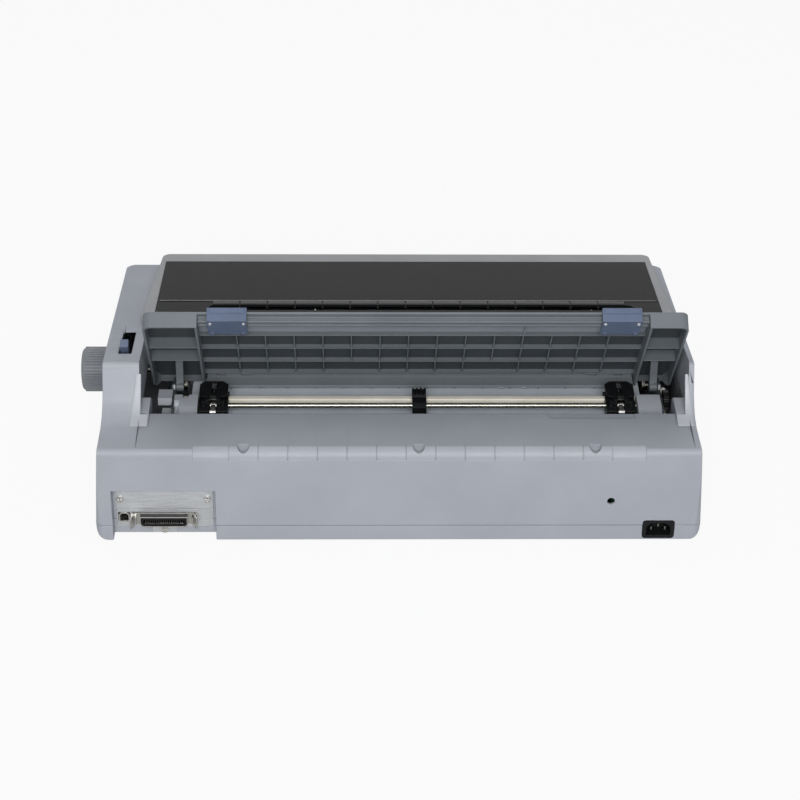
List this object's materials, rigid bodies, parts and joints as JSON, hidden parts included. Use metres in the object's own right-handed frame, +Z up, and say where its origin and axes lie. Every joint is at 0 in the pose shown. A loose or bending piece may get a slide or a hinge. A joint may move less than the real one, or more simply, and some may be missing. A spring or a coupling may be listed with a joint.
{
  "type": "dot matrix printer",
  "caption": "Wide-carriage dot matrix printer with tractor feed, hinged top cover with a smoked window, and a raised ribbed paper guide at the rear.",
  "frame": {"origin": "centre of the bounding box in X and Y, on the plane of the rubber feet", "axes": "+X across the machine towards the paper feed knob, +Y towards the rear with the ports, +Z up"},
  "size_m": [0.6363, 0.402, 0.2192],
  "materials": {
    "case_plastic": "fine textured warm blue-grey moulding",
    "cover_plastic": "fine textured grey moulding",
    "smoked_window": "smoked translucent sheet",
    "guide_plastic": "fine textured slate grey moulding",
    "blue_plastic": "satin grey-blue moulding",
    "knob_plastic": "satin dark grey, fine axial ribs",
    "platen_rubber": "ground black rubber",
    "feet_rubber": "moulded black rubber",
    "plated_steel": "zinc plated sheet",
    "ground_steel": "ground and plated rod",
    "white_acetal": "satin moulded acetal",
    "cream_acetal": "satin cream acetal",
    "black_plastic": "satin black moulding",
    "bracket_plastic": "light grey moulding",
    "path_steel": "blue-grey painted sheet",
    "motor_steel": "black painted motor case",
    "brass": "turned brass",
    "cast_head": "die-cast and blackened",
    "board_green": "solder-masked board with its components",
    "belt_rubber": "toothed belt",
    "port_shell": "nickel plated shell",
    "button_plastic": "light grey key cap"
  },
  "bodies": {
    "printer": {"lower_case": "case_plastic", "upper_case": "case_plastic", "rubber_feet": "feet_rubber", "feed_motor": "motor_steel", "tractor_rod": "ground_steel", "tractor_brackets": "bracket_plastic", "side_frames": "plated_steel", "mech_base": "plated_steel", "carriage_shaft": "ground_steel", "ribbon_cartridge": "black_plastic", "carriage_motor": "motor_steel", "drive_belt": "belt_rubber", "paper_path": "path_steel", "blank_plate": "plated_steel", "port_bracket": "plated_steel", "interface_screws": "plated_steel", "parallel_port": "port_shell", "usb_port": "port_shell", "ac_inlet": "black_plastic", "main_board": "board_green", "power_board": "board_green", "panel_board": "board_green"},
    "cover": {"cover_frame": "cover_plastic", "cover_window": "smoked_window"},
    "guide": {"paper_guide": "guide_plastic", "guide_rail": "guide_plastic"},
    "guide_edge_left": {"edge_guide_left": "blue_plastic"},
    "guide_edge_right": {"edge_guide_right": "blue_plastic"},
    "front_door": {"front_cover": "case_plastic"},
    "platen": {"platen_roller": "platen_rubber", "platen_shaft": "ground_steel", "platen_knob": "knob_plastic", "platen_gear": "white_acetal"},
    "idler": {"feed_idler": "white_acetal"},
    "pinion": {"motor_pinion": "brass"},
    "idler_a": {"tractor_idler_a": "white_acetal"},
    "idler_b": {"tractor_idler_b": "white_acetal"},
    "drive_bar": {"tractor_bar": "cream_acetal"},
    "tractor_l": {"tractor_left": "black_plastic"},
    "tractor_r": {"tractor_right": "black_plastic"},
    "flap_l": {"flap_left": "black_plastic"},
    "flap_r": {"flap_right": "black_plastic"},
    "lock_l": {"lock_left": "plated_steel"},
    "lock_r": {"lock_right": "plated_steel"},
    "sprocket_l": {"sprocket_left": "black_plastic"},
    "sprocket_r": {"sprocket_right": "black_plastic"},
    "support": {"centre_support": "black_plastic"},
    "carriage_unit": {"carriage": "black_plastic", "print_head": "cast_head"},
    "pulley_drive": {"drive_pulley": "brass"},
    "pulley_idler": {"idler_pulley": "white_acetal"},
    "bail": {"paper_bail": "ground_steel"},
    "release": {"release_lever": "blue_plastic"},
    "switch": {"power_switch": "black_plastic"},
    "clip_l": {"clip_left": "plated_steel"},
    "clip_r": {"clip_right": "plated_steel"},
    "key_a": {"button_a": "button_plastic"},
    "key_b": {"button_b": "button_plastic"},
    "key_c": {"button_c": "button_plastic"},
    "key_d": {"button_d": "button_plastic"}
  },
  "joints": [
    {"name": "cover_hinge", "type": "hinge", "parent": "printer", "child": "cover", "pos_m": [-0.03085, 0.0135, 0.1476], "axis": [-1, 0, 0], "range_deg": [0, 70]},
    {"name": "guide_hinge", "type": "hinge", "parent": "printer", "child": "guide", "pos_m": [-0.03485, 0.066, 0.099], "axis": [1, 0, 0], "range_deg": [-51.8, 0]},
    {"name": "edge_guide_left_slide", "type": "slide", "parent": "guide", "child": "guide_edge_left", "axis": [1, 0, 0], "range_m": [-0.14, 0.008]},
    {"name": "edge_guide_right_slide", "type": "slide", "parent": "guide", "child": "guide_edge_right", "axis": [1, 0, 0], "range_m": [-0.007, 0.14]},
    {"name": "front_cover_hinge", "type": "hinge", "parent": "printer", "child": "front_door", "pos_m": [-0.08485, -0.1998, 0.0279], "axis": [1, 0, 0], "range_deg": [0, 80]},
    {"name": "platen_spin", "type": "hinge", "parent": "printer", "child": "platen", "pos_m": [-0.01485, -0.002, 0.079], "axis": [1, 0, 0], "continuous": true},
    {"name": "feed_idler_spin", "type": "hinge", "parent": "printer", "child": "idler", "pos_m": [-0.29135, 0.01721, 0.05441], "axis": [1, 0, 0], "continuous": true},
    {"name": "motor_pinion_spin", "type": "hinge", "parent": "printer", "child": "pinion", "pos_m": [-0.29135, 0.02829, 0.04023], "axis": [1, 0, 0], "continuous": true},
    {"name": "tractor_idler_a_spin", "type": "hinge", "parent": "printer", "child": "idler_a", "pos_m": [-0.29135, 0.03799, 0.06641], "axis": [1, 0, 0], "continuous": true},
    {"name": "tractor_idler_b_spin", "type": "hinge", "parent": "printer", "child": "idler_b", "pos_m": [-0.29135, 0.06207, 0.07725], "axis": [1, 0, 0], "continuous": true},
    {"name": "tractor_bar_spin", "type": "hinge", "parent": "printer", "child": "drive_bar", "pos_m": [-0.03485, 0.081, 0.092], "axis": [1, 0, 0], "continuous": true},
    {"name": "tractor_left_slide", "type": "slide", "parent": "printer", "child": "tractor_l", "axis": [1, 0, 0], "range_m": [-0.15, 0]},
    {"name": "tractor_right_slide", "type": "slide", "parent": "printer", "child": "tractor_r", "axis": [1, 0, 0], "range_m": [0, 0.15]},
    {"name": "flap_left_hinge", "type": "hinge", "parent": "tractor_l", "child": "flap_l", "pos_m": [0.17415, 0.101, 0.1015], "axis": [-1, 0, 0], "range_deg": [0, 90]},
    {"name": "lock_left_turn", "type": "hinge", "parent": "tractor_l", "child": "lock_l", "pos_m": [0.17415, 0.0965, 0.095], "axis": [1, 0, 0], "range_deg": [0, 35]},
    {"name": "sprocket_left_spin", "type": "hinge", "parent": "tractor_l", "child": "sprocket_l", "pos_m": [0.17415, 0.081, 0.092], "axis": [1, 0, 0], "continuous": true},
    {"name": "flap_right_hinge", "type": "hinge", "parent": "tractor_r", "child": "flap_r", "pos_m": [-0.24285, 0.101, 0.1015], "axis": [-1, 0, 0], "range_deg": [0, 90]},
    {"name": "lock_right_turn", "type": "hinge", "parent": "tractor_r", "child": "lock_r", "pos_m": [-0.24285, 0.0965, 0.095], "axis": [1, 0, 0], "range_deg": [0, 35]},
    {"name": "sprocket_right_spin", "type": "hinge", "parent": "tractor_r", "child": "sprocket_r", "pos_m": [-0.24285, 0.081, 0.092], "axis": [1, 0, 0], "continuous": true},
    {"name": "centre_support_slide", "type": "slide", "parent": "printer", "child": "support", "axis": [1, 0, 0], "range_m": [-0.03, 0.03]},
    {"name": "carriage_slide", "type": "slide", "parent": "printer", "child": "carriage_unit", "axis": [1, 0, 0], "range_m": [0, 0.43]},
    {"name": "drive_pulley_spin", "type": "hinge", "parent": "printer", "child": "pulley_drive", "pos_m": [-0.25085, -0.093, 0.04], "axis": [0, 1, 0], "continuous": true},
    {"name": "idler_pulley_spin", "type": "hinge", "parent": "printer", "child": "pulley_idler", "pos_m": [0.18215, -0.093, 0.04], "axis": [0, 1, 0], "continuous": true},
    {"name": "paper_bail_turn", "type": "hinge", "parent": "printer", "child": "bail", "pos_m": [-0.03485, 0.016, 0.07], "axis": [-1, 0, 0], "range_deg": [0, 15]},
    {"name": "release_lever_turn", "type": "hinge", "parent": "printer", "child": "release", "pos_m": [0.26315, 0.064, 0.118], "axis": [1, 0, 0], "range_deg": [0, 46]},
    {"name": "power_switch_rock", "type": "hinge", "parent": "printer", "child": "switch", "pos_m": [-0.28285, -0.196, 0.04], "axis": [-1, 0, 0], "range_deg": [0, 14]},
    {"name": "clip_left_turn", "type": "hinge", "parent": "printer", "child": "clip_l", "pos_m": [0.25105, 0.194, 0.0203], "axis": [0, 0, 1], "range_deg": [0, 70]},
    {"name": "clip_right_turn", "type": "hinge", "parent": "printer", "child": "clip_r", "pos_m": [0.19025, 0.194, 0.0203], "axis": [0, 0, -1], "range_deg": [0, 70]},
    {"name": "button_a_press", "type": "slide", "parent": "printer", "child": "key_a", "axis": [0, 0.8264, -0.5631], "range_m": [0, 0.0012], "stiffness_N_per_m": 400, "springref_m": -0.0005},
    {"name": "button_b_press", "type": "slide", "parent": "printer", "child": "key_b", "axis": [0, 0.8264, -0.5631], "range_m": [0, 0.0012], "stiffness_N_per_m": 400, "springref_m": -0.0005},
    {"name": "button_c_press", "type": "slide", "parent": "printer", "child": "key_c", "axis": [0, 0.8264, -0.5631], "range_m": [0, 0.0012], "stiffness_N_per_m": 400, "springref_m": -0.0005},
    {"name": "button_d_press", "type": "slide", "parent": "printer", "child": "key_d", "axis": [0, 0.8264, -0.5631], "range_m": [0, 0.0012], "stiffness_N_per_m": 400, "springref_m": -0.0005}
  ],
  "couplings": [
    {"joint": "feed_idler_spin", "follows": "platen_spin", "ratio": -1.6},
    {"joint": "motor_pinion_spin", "follows": "platen_spin", "ratio": 3.2},
    {"joint": "tractor_idler_a_spin", "follows": "platen_spin", "ratio": 1.6},
    {"joint": "tractor_idler_b_spin", "follows": "platen_spin", "ratio": -1.3333},
    {"joint": "tractor_bar_spin", "follows": "platen_spin", "ratio": 2},
    {"joint": "sprocket_left_spin", "follows": "platen_spin", "ratio": 2},
    {"joint": "sprocket_right_spin", "follows": "platen_spin", "ratio": 2},
    {"joint": "drive_pulley_spin", "follows": "carriage_slide", "rad_per_m": 145.46},
    {"joint": "idler_pulley_spin", "follows": "carriage_slide", "rad_per_m": 145.46}
  ]
}
